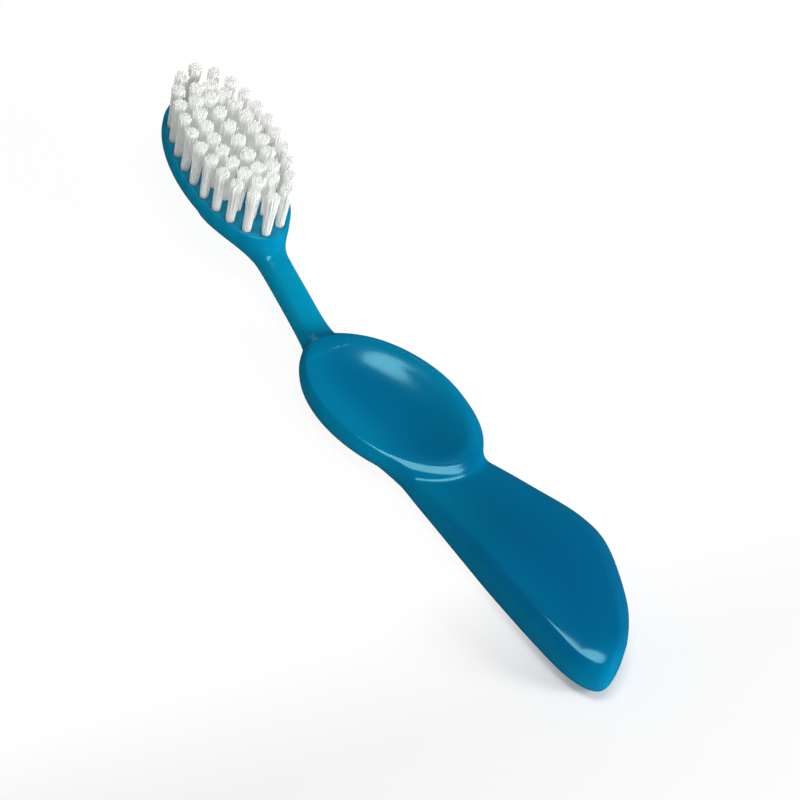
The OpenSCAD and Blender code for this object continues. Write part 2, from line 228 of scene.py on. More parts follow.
class Nodes:
    """A node tree, to which a single method adds every node."""

    def __init__(self, tree):
        self.nodes = tree.nodes
        self.links = tree.links

    def add(self, kind, settings=None, values=(), output=0):
        """A new node with its settings, the values or links of its sockets, and the output to use."""
        node = self.nodes.new(kind)
        for key, value in (settings or {}).items():
            setattr(node, key, value)
        pairs = values.items() if isinstance(values, dict) else enumerate(values)
        for key, value in pairs:
            self.put(node.inputs[key], value)
        return Socket(self, node.outputs[output])

    def put(self, target, value):
        """Link a socket to the target, or set the target to a plain value."""
        if isinstance(value, Socket):
            self.links.new(value.output, target)
        else:
            target.default_value = value

    def mix(self, share, first, second):
        """The first colour where the share is 0, and the second where it is 1."""
        # A Mix node takes two colours at its sockets 6 and 7 and gives the mixed one at its output 2.
        return self.add(
            "ShaderNodeMix", {"data_type": "RGBA"}, {0: share, 6: (*first, 1.0), 7: (*second, 1.0)}, 2)

    def attribute(self, name):
        """A value that the mesh carries at its points."""
        return self.add("ShaderNodeAttribute", {"attribute_name": name}, output="Fac")

    def place(self):
        """The place on the object, in metres."""
        return self.add("ShaderNodeTexCoord", output="Object")

    def noise(self, place, scale, detail):
        """Soft noise that repeats about that many times in a metre."""
        return self.add("ShaderNodeTexNoise", {}, {"Vector": place, "Scale": scale, "Detail": detail})

    def rays(self):
        """Two values: 1 for a ray from the camera, and 1 for a ray in a reflection."""
        path = self.add("ShaderNodeLightPath").output.node
        return Socket(self, path.outputs["Is Camera Ray"]), Socket(self, path.outputs["Is Glossy Ray"])


class Finish(Nodes):
    """One material with its shader."""

    def __init__(self, name):
        self.material = bpy.data.materials.new(name)
        self.material.use_nodes = True
        super().__init__(self.material.node_tree)
        self.shader = next(n for n in self.nodes if n.type == "BSDF_PRINCIPLED")

    def set(self, **sockets):
        """Feed the shader's sockets, with underscores for the spaces in their names."""
        for name, value in sockets.items():
            self.put(self.shader.inputs[name.replace("_", " ")], value)
        return self.material


# The plastic: how its colour follows the light in it, how clouded it is, and its surface.
GLOW_GAIN = 2.0
GLOW_POWER = 0.9
CLOUD_TINT = 0.06
CLOUD_ROUGHNESS = 0.02
WAVE_HEIGHT = 0.2 * MM
PLASTIC_IOR = 1.49
PLASTIC_GLOSS = (0.36, 0.95, 1.0, 1.0)
# The nylon: how its painted shade fades from the face up, how its filaments differ, and the painted glow of
# what shines through.
SHADE_FADE_POWER = 0.7
STREAK_TINT = 0.4
STREAK_ROUGHNESS = 0.1
NYLON_ROUGHNESS = 0.45
NYLON_IOR = 1.5
INNER_SHINE = 1.6
INNER_SHINE_FALL = 1.2
# The anchors' brass-coloured wire.
WIRE_SHADE = (0.62, 0.50, 0.27)
WIRE_LIGHT = (0.80, 0.70, 0.45)
WIRE_ROUGHNESS = 0.25
MARK_ROUGHNESS = 0.2
# The floor: its colour, its colour in reflections, and its glow in the camera's view, which gives
# way to real light and shadow towards the wing.
FLOOR_COLOUR = (0.9, 0.9, 0.9)
FLOOR_IN_GLOSS = (0.02, 0.10, 0.12)
FLOOR_GLOW = 1.03
FLOOR_GLOW_SHARE = 0.9
FLOOR_GLOW_LOSS = 0.85
# Where along the brush the glow's loss starts, and how fast it grows from there in shares a metre.
LOSS_START = 37.5 * MM
LOSS_RATE = 36.0


def plastic_finish(settings):
    """Glossy dyed plastic: paler where light can pass through, with the soft waviness of a moulding."""
    finish = Finish("polished_teal_plastic")
    glow = finish.attribute("glow")
    place = finish.place()
    cloud = finish.noise(place, scale=60.0, detail=2.0)
    share = ((glow * GLOW_GAIN) ** GLOW_POWER + (cloud - 0.5) * CLOUD_TINT).clamped()
    wave = finish.noise(place, scale=140.0, detail=1.0)
    bump = finish.add("ShaderNodeBump", {}, {"Strength": 0.05, "Distance": WAVE_HEIGHT, "Height": wave})
    return finish.set(
        Base_Color=finish.mix(share, settings.thick_colour, settings.thin_colour),
        Roughness=CLOUD_ROUGHNESS * cloud + settings.roughness,
        Normal=bump,
        IOR=PLASTIC_IOR,
        Specular_Tint=PLASTIC_GLOSS)


def nylon_finish(settings):
    """Milky nylon: painted shade makes it greyer down between the tufts, with faint streaks from filament to
    filament.
    """
    finish = Finish("milky_nylon")
    rise = finish.attribute("rise")
    tone = finish.attribute("tone")
    inner = finish.attribute("inner")
    # Painted shade: the nylon is greyer near the face and pales as it rises.
    share = (rise ** SHADE_FADE_POWER + (tone - 0.5) * STREAK_TINT).clamped()
    # Painted glow: the emission stands in for light that passes through the bundles, stronger low down in
    # the inner tufts.
    through = settings.shine_through * (1.0 + inner * (INNER_SHINE - rise * INNER_SHINE_FALL))
    return finish.set(
        Base_Color=finish.mix(share, settings.nylon_root, settings.nylon),
        Roughness=STREAK_ROUGHNESS * tone + NYLON_ROUGHNESS,
        IOR=NYLON_IOR,
        Emission_Color=finish.mix(through, BLACK, settings.nylon),
        Emission_Strength=1.0)


def wire_finish():
    """Flat brass-coloured wire with drawing marks along it."""
    finish = Finish("anchor_wire")
    place = finish.place()
    marks = finish.noise(place, scale=4000.0, detail=3.0)
    return finish.set(
        Base_Color=finish.mix(marks, WIRE_SHADE, WIRE_LIGHT),
        Roughness=MARK_ROUGHNESS * marks + WIRE_ROUGHNESS,
        Metallic=1.0)


def floor_finish():
    """Matt white floor, bright to the camera except near the wing, where its shadow is to be seen."""
    finish = Finish("pale_floor")
    seen, gloss = finish.rays()
    finish.set(
        Base_Color=finish.mix(gloss, FLOOR_COLOUR, FLOOR_IN_GLOSS),
        Roughness=1.0,
        Specular_IOR_Level=0.0)
    glow = finish.add("ShaderNodeEmission", {}, {"Color": WHITE, "Strength": FLOOR_GLOW})
    along = finish.add("ShaderNodeSeparateXYZ", {}, [finish.place()])
    near_wing = ((along - LOSS_START) * LOSS_RATE).clamped()
    shown = finish.add("ShaderNodeMixShader", {}, {
        0: seen * (FLOOR_GLOW_SHARE - near_wing * FLOOR_GLOW_LOSS),
        1: Socket(finish, finish.shader.outputs[0]), 2: glow})
    finish.put(finish.nodes["Material Output"].inputs["Surface"], shown)
    return finish.material


# Form of the handle

# The neck's sections from head to pad: place, height along its fall, width and thickness, as shares.
NECK_SHARES = (
    (0.14, 1.46, 1.80, 0.60), (0.22, 1.27, 1.45, 0.82), (0.29, 1.08, 1.15, 0.97),
    (0.35, 0.93, 1.00, 1.00), (0.48, 0.56, 0.98, 1.00), (0.60, 0.18, 1.00, 1.00),
    (0.66, 0.08, 1.10, 1.04), (0.70, 0.06, 1.30, 1.13), (0.735, 0.06, 1.50, 1.20),
)
# The wing's outline as shares of its reach and width, from its tip along the bulge to its root, and
# back along the straight side.
WING_SHARES = (
    (1.000, 0.405), (0.975, 0.525), (0.910, 0.690), (0.800, 0.860), (0.620, 0.985),
    (0.500, 0.945), (0.370, 0.775), (0.240, 0.580), (0.130, 0.370), (0.095, 0.150),
    (0.130, -0.020), (0.240, -0.010), (0.370, 0.025), (0.500, 0.060), (0.620, 0.095),
    (0.800, 0.165), (0.910, 0.225), (0.975, 0.305),
)
# The wing's middle line, and half its width. Places across the wing are shares of that half.
SPINE_SHARES = ((0.245, 0.250), (0.860, 0.470))
WING_HALF_SHARE = 0.45
# Where the wing's top rises from its droop beside the pad, along the wing and across it.
DROOP_SHARES = (0.19, 0.64)
DROOP_ACROSS = (0.8, -0.6)
# Where, across the wing, its top edge grows rounder, and where its crown stops falling.
BULGE_SHARES = (0.1, 0.8)
CROWN_LIMIT = 1.5
# How square the neck's section is: 2 is an ellipse.
NECK_SQUARE = 3.0
# Least slope that the neck's distance is worked out with, near its middle line.
NECK_LEAST_SLOPE = 0.2
# Where, along the pad, its top turns into the step, and the part round its middle without rim tilt.
STEP_SHARES = (-0.1, 0.6)
RIM_LEVEL_SHARE = 0.35
# Deepest point of the bowl, as shares of the rim's half-length and half-width, and its profile.
BOWL_DEEPEST = (0.12, 0.12)
BOWL_POWER = 2.0
# Where the bowl's surface turns steeply up outside the rim, and the rise from there in millimetres.
BOWL_END_SHARE = 1.03
BOWL_END_RISE = 8.0
# Two points of the wing's straight side, between which it is nearly a line.
STRAIGHT_SHARES = (WING_SHARES[13], WING_SHARES[16])
# Where the dome of the wing's end grows along that side, where it starts to fall to the end, and how
# gently it falls to the side.
TIP_SHARES = (0.76, 0.97)
TIP_START = 0.91
TIP_EASE = 5.8
# Spans that a smooth curve has between two of its points.
NECK_SPANS = 12
WING_SPANS = 14
# Left of this place in millimetres a point is far from the wing.
WING_NEAR = -4.0
# Points that are measured against the wing's outline together.
POINTS_AT_ONCE = 20000
# Millimetres round the holes within which the field is drilled.
DRILL_MARGIN = 0.6
# How deep the painted shade of a tuft hole fades in above the bottom of the hole, and how far it reaches.
SHADE_RISE = 0.8
SHADE_REACH = 1.0


def eased(at, start, end):
    """Smooth step from 0 at the start to 1 at the end."""
    t = np.clip((at - start) / (end - start), 0.0, 1.0)
    return t * t * (3.0 - 2.0 * t)


def smooth_min(a, b, k):
    """The smaller value, blended where the two differ by less than k."""
    share = np.clip(0.5 + 0.5 * (b - a) / k, 0.0, 1.0)
    return b + (a - b) * share - k * share * (1.0 - share)


def smooth_max(a, b, k):
    """The larger value, blended where the two differ by less than k."""
    return -smooth_min(-a, -b, k)


def curve_through(points, steps, closed):
    """Smooth curve through the points, with that many spans between each two."""
    p = np.asarray(points, float)
    n = len(p)
    out = []
    for i in range(n if closed else n - 1):
        ends = [(i - 1) % n, i, (i + 1) % n, (i + 2) % n] if closed else [
            max(i - 1, 0), i, i + 1, min(i + 2, n - 1)]
        a, b, c, d = p[ends]
        for t in np.arange(steps) / steps:
            out.append(b + ((c - a) * t + (2 * a - 5 * b + 4 * c - d) * t ** 2
                            + (3 * b - a - 3 * c + d) * t ** 3) / 2)
    return np.array(out if closed else out + [p[-1]])


def oval(x, y, a, b):
    """Distance to an ellipse, true near it and negative inside."""
    near = np.hypot(x / a, y / b)
    slope = np.hypot(x / a ** 2, y / b ** 2)
    return np.where(slope > TINY, near * (near - 1.0) / np.maximum(slope, TINY), -np.minimum(a, b))


def rolled_wall(side, rise, inset, height):
    """Distance to a wall that rolls in by an inset over a height; side is the distance to the wall."""
    return oval(np.maximum(side + inset, 0.0), np.maximum(rise, 0.0), inset, height)


class HandleForm:
    """Signed distance to the moulding in millimetres."""

    def __init__(self, settings):
        for key in settings.__annotations__:
            value = getattr(settings, key)
            is_length = settings.bl_rna.properties[key].subtype == "DISTANCE"
            setattr(self, key, value / MM if is_length else value)
        self.neck = curve_through(NECK_SHARES, NECK_SPANS, False) * (self.head_reach, 1.0, 1.0, 1.0)
        self.neck[:, 0] -= self.head_reach
        size = (self.wing_reach, self.wing_width)
        self.outline = curve_through(np.array(WING_SHARES) * size, WING_SPANS, True)
        self.spine = np.array(SPINE_SHARES) * size
        self.holes = np.array([
            [(low.x + high.x) / 2 / MM, (low.y + high.y) / 2 / MM] for low, high in TUFT_BOXES.values()])

    def head(self, x, y, z):
        """The head plate: an oval with a straight wall over a curved belly."""
        side = oval(x + self.head_reach, y, self.head_length / 2, self.head_width / 2)
        wall_foot = self.face_height - self.head_wall
        belly = rolled_wall(side, wall_foot - z, self.belly_in, self.head_thickness - self.head_wall)
        edge = self.face_edge
        return np.maximum(belly, rolled_wall(side, z - (self.face_height - edge), edge, edge))

    def neck_bar(self, x, y, z):
        """The neck: a bar with a rounded section that falls from the head to the pad."""
        at, fall, width, thickness = self.neck.T
        half_width, half_thickness = self.neck_width / 2, self.neck_thickness / 2
        drop = self.neck_height_head - self.neck_height_pad
        middle = self.neck_height_pad + drop * np.interp(x, at, fall)
        across = np.abs(y) / (half_width * np.interp(x, at, width))
        up = np.abs(z - middle) / (half_thickness * np.interp(x, at, thickness))
        near = (across ** NECK_SQUARE + up ** NECK_SQUARE) ** (1.0 / NECK_SQUARE) + TINY
        slope = np.hypot(across ** 2 / half_width, up ** 2 / half_thickness) / near ** 2
        bar = (near - 1.0) / np.maximum(slope, NECK_LEAST_SLOPE)
        ends = np.maximum(at[0] - x, x - at[-1])
        return np.maximum(bar, ends)

    def pad_place(self, x, y):
        """The place along and across the turned pad."""
        c, s = math.cos(self.pad_turn), math.sin(self.pad_turn)
        y = y - self.pad_shift
        return c * x + s * y, c * y - s * x

    def pad(self, x, y, z):
        """The thumb pad without its bowl: an oval with a rounded rim and a step to the wing."""
        px, py = self.pad_place(x, y)
        a, b = self.pad_length / 2, self.pad_width / 2
        side = oval(px, py, a, b)
        tilt = (py / b) / np.maximum(np.hypot(px / a, py / b), RIM_LEVEL_SHARE)
        rim = self.rim_height + self.rim_tilt * tilt
        widest = rim - self.rim_shoulder
        foot = rolled_wall(side, widest - z, self.pad_foot, widest)
        shoulder = rolled_wall(side, z - widest, self.rim_in, self.rim_shoulder)
        slope = math.tan(self.step_slope) * eased(px / a, *STEP_SHARES)
        step = (z - rim + slope * np.maximum(side + self.step_in, 0.0)) / np.hypot(slope, 1.0)
        return np.maximum(foot, smooth_max(shoulder, step, self.step_edge))

    def bowl(self, x, y, z):
        """Height over the bowl's surface: all that lies above it is cut away."""
        px, py = self.pad_place(x, y)
        u, v = px / (self.pad_length / 2 - self.rim_in), py / (self.pad_width / 2 - self.rim_in)
        u0, v0 = BOWL_DEEPEST
        du, dv = u - u0, v - v0
        lean, reach = u0 * du + v0 * dv, du ** 2 + dv ** 2
        size = reach / np.maximum(np.sqrt(lean ** 2 + reach * (1.0 - u0 ** 2 - v0 ** 2)) - lean, TINY)
        rise = (self.rim_height - self.bowl_height) * size ** BOWL_POWER + self.rim_tilt * v
        return z - (self.bowl_height + rise + BOWL_END_RISE * np.maximum(size - BOWL_END_SHARE, 0.0))

    def wing_side(self, x, y):
        """Distance to the wing's outline, from the nearest of its spans."""
        a, b = self.outline, np.roll(self.outline, -1, axis=0)
        run = b - a
        out = np.hypot(x, y)
        near = np.flatnonzero(x > WING_NEAR)
        for low in range(0, len(near), POINTS_AT_ONCE):
            part = near[low:low + POINTS_AT_ONCE]
            px, py = x[part, None], y[part, None]
            dx, dy = px - a[:, 0], py - a[:, 1]
            t = np.clip((dx * run[:, 0] + dy * run[:, 1]) / (run ** 2).sum(1), 0.0, 1.0)
            gap = ((dx - t * run[:, 0]) ** 2 + (dy - t * run[:, 1]) ** 2).min(1)
            crosses = (a[:, 1] > py) != (b[:, 1] > py)
            at = a[:, 0] + (py - a[:, 1]) * run[:, 0] / np.where(run[:, 1] == 0, TINY, run[:, 1])
            inside = (crosses & (px < at)).sum(1) % 2 == 1
            out[part] = np.where(inside, -1.0, 1.0) * np.sqrt(gap)
        return out

    def tip_fall(self, x, y):
        """How far the wing's top falls in a dome to its end and along the straight side before it."""
        (x0, y0), (x1, y1) = np.array(STRAIGHT_SHARES) * (self.wing_reach, self.wing_width)
        inward = y - y0 - (y1 - y0) * (x - x0) / (x1 - x0)
        grown = eased(x / self.wing_reach, *TIP_SHARES)
        reach = self.wing_edge + (self.tip_reach - self.wing_edge) * grown
        along = np.maximum(x - TIP_START * self.wing_reach, 0.0)
        return (along ** 2 / (2.0 * self.tip_round)
                + np.maximum(reach - inward, 0.0) ** 2 / (TIP_EASE * reach))

    def wing_top(self, x, y, across):
        """Height of the wing's top: crowned, drooping beside the pad and domed at its end."""
        outer = eased(x / self.wing_reach, *DROOP_SHARES)
        edge = self.wing_thickness_pad + (self.wing_thickness - self.wing_thickness_pad) * outer
        crown = self.wing_crown * (1.0 - np.minimum(across ** 2, CROWN_LIMIT))
        droop = self.wing_droop * (1.0 - outer) * eased(across, *DROOP_ACROSS)
        return edge + crown - droop - self.tip_fall(x, y)

    def wing(self, x, y, z, side):
        """The wing-shaped grip; side is the distance to its outline."""
        (x0, y0), (x1, y1) = self.spine
        across = (y - (y0 + (y1 - y0) * (x - x0) / (x1 - x0))) / (WING_HALF_SHARE * self.wing_width)
        top = self.wing_top(x, y, across)
        edge = self.wing_edge + (self.wing_bulge_edge - self.wing_edge) * eased(across, *BULGE_SHARES)
        edge = np.minimum(edge, top - self.wing_foot - self.wing_wall)
        upper = rolled_wall(side, z - (top - edge), edge, edge)
        lower = rolled_wall(side, self.wing_foot - z, self.wing_foot, self.wing_foot)
        return np.maximum(upper, lower)

    def solid(self, x, y, z, side):
        """The moulding before its tuft holes; side is the distance to the wing's outline."""
        body = smooth_min(self.head(x, y, z), self.neck_bar(x, y, z), self.neck_fillet)
        body = smooth_min(body, self.pad(x, y, z), self.pad_fillet)
        body = smooth_min(body, self.wing(x, y, z, side), self.wing_fillet)
        body = smooth_max(body, self.bowl(x, y, z), self.rim_soft)
        return np.maximum(body, -z)

    def drilled(self, body, x, y, z):
        """The body with its tuft holes taken out."""
        bottom = self.face_height - self.hole_depth
        near = (z > bottom - DRILL_MARGIN) & (x < self.head_length / 2 - self.head_reach)
        if near.any():
            gap = np.hypot(x[near, None] - self.holes[:, 0], y[near, None] - self.holes[:, 1]).min(1)
            hole = np.maximum(gap - self.hole_width / 2, bottom - z[near])
            body = body.copy()
            body[near] = smooth_max(body[near], -hole, self.hole_edge)
        return body

    def beside_holes(self, points):
        """How strongly the painted shade of the nearest tuft hole darkens the plastic at each point, up to
        1.
        """
        gap = np.full(len(points), np.inf)
        for hole in self.holes:
            gap = np.minimum(gap, np.hypot(*(points[:, :2] - hole).T))
        rise = points[:, 2] - (self.face_height - self.hole_depth)
        above_bottom = np.clip(rise, 0.0, SHADE_RISE) / SHADE_RISE
        return np.exp(-np.maximum(gap - self.hole_width / 2, 0.0) / SHADE_REACH) * above_bottom

    def __call__(self, points):
        x, y, z = points.T
        return self.drilled(self.solid(x, y, z, self.wing_side(x, y)), x, y, z)


# From a form to a mesh

CELL_CORNERS = np.array([(i, j, k) for i in (0, 1) for j in (0, 1) for k in (0, 1)])
CELL_EDGES = [(a, b) for a in range(8) for b in range(a + 1, 8)
              if np.abs(CELL_CORNERS[a] - CELL_CORNERS[b]).sum() == 1]
# Step in millimetres for working out a slope, and the least squared slope that a move divides by.
SLOPE_STEP = 0.02
LEAST_SLOPE_SQUARED = 0.05
# Rays into the plastic at each point: one straight in and the others in a cone round it, followed
# in steps, in millimetres.
CONE_RAYS = 8
CONE_TILT = math.radians(40.0)
RAY_STEP = 0.5
RAY_LENGTH = 16.0
# Height of a normal from which it counts as upright, so that a level helper turns the cone.
UPRIGHT_FROM = 0.9
# Millimetres of plastic that let about a third of the light through.
LIGHT_REACH = 4.2


def field_on_grid(form, low, high, pitch):
    """The field without and with the tuft holes, at the corners of a grid in millimetres."""
    axes = [np.arange(lo, hi + pitch, pitch) for lo, hi in zip(low, high)]
    flat_x, flat_y = (a.ravel() for a in np.meshgrid(axes[0], axes[1], indexing="ij"))
    side = form.wing_side(flat_x, flat_y)
    shape = [len(a) for a in axes]
    solid, drilled = np.empty((len(flat_x), shape[2])), np.empty((len(flat_x), shape[2]))
    for k, level in enumerate(axes[2]):
        z = np.full(len(flat_x), level)
        solid[:, k] = form.solid(flat_x, flat_y, z, side)
        drilled[:, k] = form.drilled(solid[:, k], flat_x, flat_y, z)
    return axes, solid.reshape(shape), drilled.reshape(shape)


def cut_cells(values):
    """Sum of the places, in grid steps, of the field's zeros on each cell's edges, and their count."""
    cells = tuple(n - 1 for n in values.shape)
    total, count = np.zeros(cells + (3,)), np.zeros(cells)
    corners = [values[tuple(slice(o, o + n) for o, n in zip(corner, cells))] for corner in CELL_CORNERS]
    for a, b in CELL_EDGES:
        cut = (corners[a] < 0) != (corners[b] < 0)
        t = np.where(cut, corners[a] / np.where(cut, corners[a] - corners[b], 1.0), 0.0)
        spot = CELL_CORNERS[a] + t[..., None] * (CELL_CORNERS[b] - CELL_CORNERS[a])
        total += np.where(cut[..., None], spot, 0.0)
        count += cut
    return total, count


def quads_along(axis, inside, index):
    """A quad round each grid edge along the axis that the surface cuts, facing outwards."""
    behind, ahead = [slice(None)] * 3, [slice(None)] * 3
    behind[axis], ahead[axis] = slice(None, -1), slice(1, None)
    change = inside[tuple(behind)].astype(int) - inside[tuple(ahead)].astype(int)
    at = np.argwhere(change)
    u, v = (axis + 1) % 3, (axis + 2) % 3
    at = at[(at[:, u] > 0) & (at[:, v] > 0) & (at[:, u] < index.shape[u]) & (at[:, v] < index.shape[v])]
    ring = []
    for du, dv in ((1, 1), (0, 1), (0, 0), (1, 0)):
        cell = at.copy()
        cell[:, u] -= du
        cell[:, v] -= dv
        ring.append(index[tuple(cell.T)])
    quads = np.stack(ring, 1)
    flip = change[tuple(at.T)] < 0
    quads[flip] = quads[flip][:, ::-1]
    return quads


def surface_net(axes, values):
    """Quads round the zero of the field: one point for each cell that it passes through."""
    total, count = cut_cells(values)
    used = count > 0
    index = np.full(count.shape, -1)
    index[used] = np.arange(used.sum())
    start = np.array([a[0] for a in axes])
    pitch = axes[0][1] - axes[0][0]
    points = start + (np.argwhere(used) + total[used] / count[used][:, None]) * pitch
    return points, np.concatenate([quads_along(axis, values < 0, index) for axis in range(3)])


def slope_of(form, points):
    """How fast the distance grows along each axis."""
    grad = np.empty_like(points)
    for axis in range(3):
        shift = np.zeros(3)
        shift[axis] = SLOPE_STEP
        grad[:, axis] = form(points + shift) - form(points - shift)
    return grad / (2 * SLOPE_STEP)


def pressed_onto(form, points, rounds, most):
    """The points moved onto the surface, and its normals there."""
    for _ in range(rounds):
        grad = slope_of(form, points)
        move = -form(points) / np.maximum((grad ** 2).sum(1), LEAST_SLOPE_SQUARED)
        points = points + np.clip(move, -most, most)[:, None] * grad
    grad = slope_of(form, points)
    return points, grad / np.maximum(np.linalg.norm(grad, axis=1), TINY)[:, None]


def sample(axes, values, points):
    """The gridded field between its corners."""
    pitch = axes[0][1] - axes[0][0]
    start = np.array([a[0] for a in axes])
    at = np.clip((points - start) / pitch, 0, np.array(values.shape) - 1 - TINY)
    low = at.astype(int)
    share = at - low
    total = np.zeros(len(points))
    for c in CELL_CORNERS:
        weight = np.prod(np.where(c, share, 1 - share), axis=1)
        total += weight * values[tuple((low + c).T)]
    return total


def spread_out(values, quads, rounds):
    """The values, averaged again and again with those of their neighbours."""
    ends = np.concatenate([quads[:, [k, (k + 1) % 4]] for k in range(4)])
    ends = np.concatenate([ends, ends[:, ::-1]])
    count = np.bincount(ends[:, 0], minlength=len(values))
    for _ in range(rounds):
        values = (values + np.bincount(ends[:, 0], values[ends[:, 1]], len(values)) / count) / 2
    return values


def glow_of(axes, values, points, normals):
    """How easily light gets through the plastic to each point: 1 is thin and 0 is thick."""
    helper = np.where(np.abs(normals[:, 2:]) < UPRIGHT_FROM, (0.0, 0.0, 1.0), (1.0, 0.0, 0.0))
    side = np.cross(normals, helper)
    side /= np.linalg.norm(side, axis=1)[:, None]
    other = np.cross(normals, side)
    light = np.zeros(len(points))
    for k in range(CONE_RAYS + 1):
        tilt = 0.0 if k == 0 else CONE_TILT
        turn = 2 * math.pi * k / CONE_RAYS
        way = (-math.cos(tilt) * normals
               + math.sin(tilt) * (math.cos(turn) * side + math.sin(turn) * other))
        depth = np.zeros(len(points))
        open_ray = np.ones(len(points), bool)
        for t in np.arange(RAY_STEP, RAY_LENGTH, RAY_STEP):
            open_ray &= sample(axes, values, points + way * t) < 0
            depth += RAY_STEP * open_ray
        light += np.exp(-depth / LIGHT_REACH)
    return light / (CONE_RAYS + 1)


# Making the pieces

# Grid steps that the field reaches past the handle's box.
MARGIN_STEPS = 2.5
# Times that the points are pressed onto the surface.
PRESS_ROUNDS = 3
# Rounds of averaging that spread the glow by one grid step.
ROUNDS_A_STEP = 2.0
# How late the edge glow sets in as the surface turns upright.
WALL_POWER = 2
# Heights of a filament's rings of points, as shares, and how late it leans out.
STATION_SHARES = np.array([0.0, 0.3, 0.55, 0.8, 1.0])
LEAN_POWER = 1.25
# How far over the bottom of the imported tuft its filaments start.
ROOT_LIFT = 0.4 * MM
# The two powers of the beta law that filaments are trimmed by: most are long and a few are short.
TRIM_LAW = (1.2, 2.6)
# Sides of a filament, whose two ends are triangles.
SIDES = 3


def new_piece(name, points, faces, material, nodes):
    """A mesh that rides on the part's body and stands for the named nodes of the frame."""
    mesh = bpy.data.meshes.new(name)
    mesh.from_pydata(points.tolist(), [], faces)
    mesh.materials.append(material)
    mesh.shade_smooth()
    piece = bpy.data.objects.new(name, mesh)
    bpy.context.scene.collection.objects.link(piece)
    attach(piece, "root")
    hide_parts(*nodes)
    return piece


def give(piece, name, values):
    """Store a value for each point, for the piece's material."""
    attribute = piece.data.attributes.new(name, "FLOAT", "POINT")
    attribute.data.foreach_set("value", np.asarray(values, np.float32))


class BRUSH_OT_handle(bpy.types.Operator):
    """Mesh the one-piece moulding: head plate, neck, thumb pad and wing, with its tuft holes"""

    bl_idname = "brush.handle"
    bl_label = "Handle moulding"

    def execute(self, context):
        settings = context.scene.brush_handle
        form = HandleForm(settings)
        low, high = (np.array(corner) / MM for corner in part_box("handle"))
        margin = MARGIN_STEPS * form.mesh_pitch
        axes, solid, drilled = field_on_grid(form, low - margin, high + margin, form.mesh_pitch)
        points, quads = surface_net(axes, drilled)
        points, normals = pressed_onto(form, points, PRESS_ROUNDS, form.mesh_pitch / 2)
        points = np.clip(points, low, high)
        plastic = plastic_finish(settings)
        piece = new_piece(
            "handle_moulding", points * MM, quads.tolist(), plastic, ["handle"])
        glow = glow_of(axes, solid, points, normals)
        rounds = round(ROUNDS_A_STEP * (form.glow_spread / form.mesh_pitch) ** 2)
        # Painted light: the upright walls are painted lighter on top of the glow.
        wall = (1.0 - normals[:, 2].clip(0.0, 1.0)) ** WALL_POWER
        glow = spread_out(glow, quads, rounds) + settings.edge_glow * wall
        # The glow is lowered by painted shade beside the tuft holes.
        give(piece, "glow", glow * (1.0 - settings.root_shade * form.beside_holes(points)))
        piece.data.normals_split_custom_set_from_vertices(normals.tolist())
        return {"FINISHED"}


def filament_faces(count, levels):
    """Faces of that many three-sided filaments, with a ring of points at each level."""
    base = np.arange(count)[:, None, None] * levels * SIDES
    level = np.arange(levels - 1)[None, :, None] * SIDES
    this = base + level + np.arange(SIDES)
    following = base + level + (np.arange(SIDES) + 1) % SIDES
    walls = np.stack([this, following, following + SIDES, this + SIDES], -1)
    starts = np.arange(count) * levels * SIDES
    tips = starts + (levels - 1) * SIDES
    faces = walls.reshape(-1, 4).tolist()
    faces += np.stack([tips, tips + 1, tips + 2], 1).tolist()
    faces += np.stack([starts + 2, starts + 1, starts], 1).tolist()
    return faces


def filament_tuft(settings, low, high, top_width, seed):
    """Points, faces, rise and tone of one tuft: thin filaments from a packed root to a ragged top."""
    rng = np.random.default_rng(seed)
    middle = np.array([(low.x + high.x) / 2, (low.y + high.y) / 2])
    count = settings.filaments
    golden_angle = math.pi * (3.0 - math.sqrt(5.0))
    turns = np.arange(count) * golden_angle + rng.uniform(0, 2 * math.pi)
    spread = np.sqrt((np.arange(count) + 0.5) / count)
    way = np.stack([np.cos(turns), np.sin(turns)], 1) * spread[:, None]
    half = settings.filament_width / 2
    root = way * (settings.root_width / 2 - half)
    top = way * (top_width / 2 - half) + rng.normal(0, settings.wander, (count, 2))
    drop = settings.ragged * rng.beta(*TRIM_LAW, count)
    tone = rng.uniform(0, 1, count)
    spin = rng.uniform(0, 2 * math.pi, count)

    bottom = low.z + ROOT_LIFT
    heights = bottom + STATION_SHARES * (high.z - drop - bottom)[:, None]
    rise = np.clip((heights - FACE_HEIGHT) / (high.z - FACE_HEIGHT), 0.0, 1.0)
    line = root[:, None, :] + (top - root)[:, None, :] * (rise ** LEAN_POWER)[..., None] + middle
    corner = spin[:, None] + np.arange(SIDES) * 2 * math.pi / SIDES
    ring = half * np.stack([np.cos(corner), np.sin(corner)], -1)
    flat = line[:, :, None, :] + ring[:, None, :, :]
    upright = np.broadcast_to(heights[:, :, None, None], flat.shape[:3] + (1,))
    points = np.concatenate([flat, upright], -1).reshape(-1, 3)
    levels = len(STATION_SHARES)
    return (points, filament_faces(count, levels),
            np.repeat(rise.reshape(-1), SIDES), np.repeat(tone, levels * SIDES))


class BRUSH_OT_tufts(bpy.types.Operator):
    """Stand a tuft of fine nylon filaments in every hole of the head"""

    bl_idname = "brush.tufts"
    bl_label = "Bristle tufts"

    def execute(self, context):
        settings = context.scene.brush_tufts
        nylon = nylon_finish(settings)
        for seed, name in enumerate(TUFT_NODES):
            low, high = TUFT_BOXES[name]
            inner = "outer" not in name
            top_width = settings.inner_top_width if inner else settings.top_width
            points, faces, rise, tone = filament_tuft(settings, low, high, top_width, seed)
            piece = new_piece(
                name.replace("tuft", "bristles"), points, faces, nylon, [name])
            give(piece, "rise", rise)
            give(piece, "tone", tone)
            give(piece, "inner", np.full(len(points), float(inner)))
        return {"FINISHED"}


